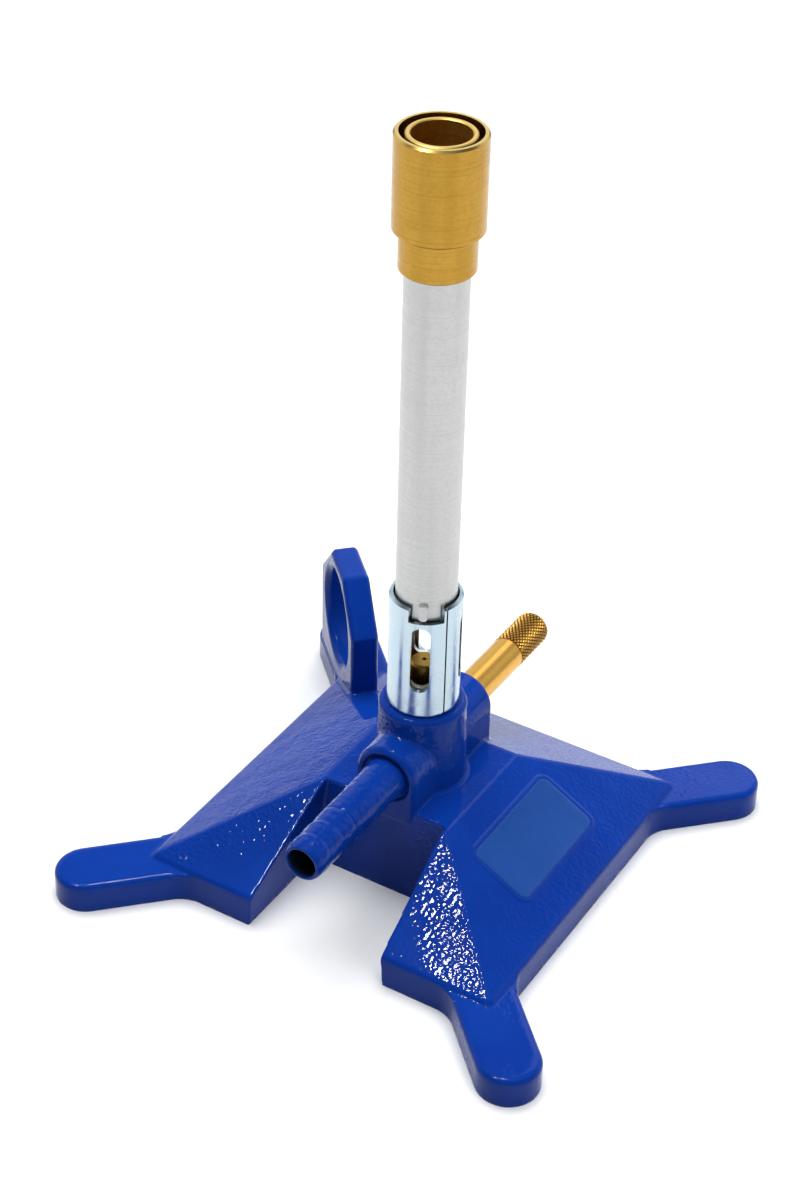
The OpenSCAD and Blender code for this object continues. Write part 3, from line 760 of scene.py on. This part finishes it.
def floor():
    """A large pale sheet under the burner, which throws less light back than it shows."""
    side = FLOOR_HALF
    corners = [(-side, -side, 0), (side, -side, 0), (side, side, 0), (-side, side, 0)]
    mesh = bpy.data.meshes.new("floor")
    mesh.from_pydata(corners, [], [(0, 1, 2, 3)])
    obj = bpy.data.objects.new("floor", mesh)
    bpy.context.collection.objects.link(obj)
    f = Finish("floor_paper", FLOOR_WHITE, 0.0, 0.6)
    f.shader.inputs["Specular IOR Level"].default_value = 0.1
    bounce = f.node("ShaderNodeLightPath").outputs["Is Diffuse Ray"]
    f.colour(f.blend(bounce, FLOOR_WHITE, FLOOR_BOUNCE))
    mesh.materials.append(f.material)


WORLD_TINT = (0.94, 1.0, 1.03)
WORLD_DIM = 0.10
WORLD_BRIGHT = 1.1
WORLD_OVERHEAD = 0.45
BACK_HEADING = (-0.15, 0.45)
RISE_HEIGHT = (0.0, 0.18)
FALL_HEIGHT = (0.57, 0.63)
OVERHEAD_HEIGHT = (0.80, 0.95)


def world():
    """A surround that is white to the camera. For light and reflections it is bright behind the
    burner at half height, dim on the camera's side, and fair overhead: with d the direction,
    strength = a value from dim to bright by back(d along the camera's heading) * rise(height) *
    fall(height), plus overhead(height)."""
    surround = bpy.data.worlds.new("surround")
    bpy.context.scene.world = surround
    surround.use_nodes = True
    g = Graph(surround.node_tree)
    direction = g.node("ShaderNodeTexCoord").outputs["Generated"]
    height = g.parts(direction)[2]
    heading = g.node("ShaderNodeVectorMath", operation="DOT_PRODUCT")
    heading.inputs[1].default_value = (-math.sin(CAMERA_AZIMUTH), math.cos(CAMERA_AZIMUTH), 0)
    g.link(direction, heading.inputs[0])
    back = g.ramp(heading.outputs["Value"], *BACK_HEADING)
    rise = g.ramp(height, *RISE_HEIGHT, 0.15, 1.0)
    fall = g.ramp(height, *FALL_HEIGHT, 1.0, 0.2)
    behind = g.ramp(g.product(back, g.product(rise, fall)), 0.0, 1.0, WORLD_DIM, WORLD_BRIGHT)
    overhead = g.ramp(height, *OVERHEAD_HEIGHT, 0.0, WORLD_OVERHEAD)
    seen = g.node("ShaderNodeMix", data_type="FLOAT")
    g.link(g.node("ShaderNodeLightPath").outputs["Is Camera Ray"], seen.inputs["Factor"])
    g.link(g.total(behind, overhead), seen.inputs["A"])
    seen.inputs["B"].default_value = 1.0
    background = surround.node_tree.nodes["Background"]
    g.link(seen.outputs["Result"], background.inputs["Strength"])
    background.inputs["Color"].default_value = (*WORLD_TINT, 1)


def soft_box(name, at, target, size, power, mirrored=True):
    """A square lamp at a place, turned to a target. One that isn't mirrored lights the burner
    without being seen in its gloss."""
    data = bpy.data.lights.new(name, "AREA")
    data.shape = "SQUARE"
    data.size = size
    data.energy = power
    lamp = bpy.data.objects.new(name, data)
    lamp.location = at
    lamp.rotation_mode = "QUATERNION"
    lamp.rotation_quaternion = (Vector(target) - Vector(at)).to_track_quat("-Z", "Y")
    lamp.visible_glossy = mirrored
    bpy.context.collection.objects.link(lamp)
    return lamp


BURNER_MIDDLE = (0, 0, 0.05)
GLINT_REACH = 1.3
# Each lamp that only shows in the gloss: the place it is seen in, the way from there, size, power
GLINTS = {
    "facet_glint": ((0.026, -0.034, 0.012), (-0.260, -0.253, 0.936), 0.16, 13.0),
    "edge_glint": ((-0.050, -0.050, 0.006), (-0.050, 0.150, 0.987), 0.12, 5.0),
    "shank_glint": ((0.0, 0.040, 0.028), (-0.100, 0.720, 0.690), 0.50, 1.3),
}


def lights():
    """A wide panel above, a fill from the right, and the lamps seen in the gloss."""
    soft_box("sky_panel", (-0.2, 0.2, 1.5), BURNER_MIDDLE, 1.4, 29, mirrored=False)
    soft_box("right_fill", (1.3, -0.5, 0.9), BURNER_MIDDLE, 0.9, 8, mirrored=False)
    for name, (near, towards, size, power) in GLINTS.items():
        lamp = soft_box(name, Vector(near) + Vector(towards) * GLINT_REACH, near, size, power)
        lamp.visible_diffuse = False


# ---------------------------------------------------------------- build

paint = blue_paint()
soft_casting(paint)
hose_inlet(inlet_paint())
valve_knob(knob_brass())
air_collar(zinc_plate())
label_plate(label_film())
label_bead(paint)
dress_nodes()
floor()
world()
lights()
add_camera()
bpy.context.scene.view_settings.view_transform = "Standard"
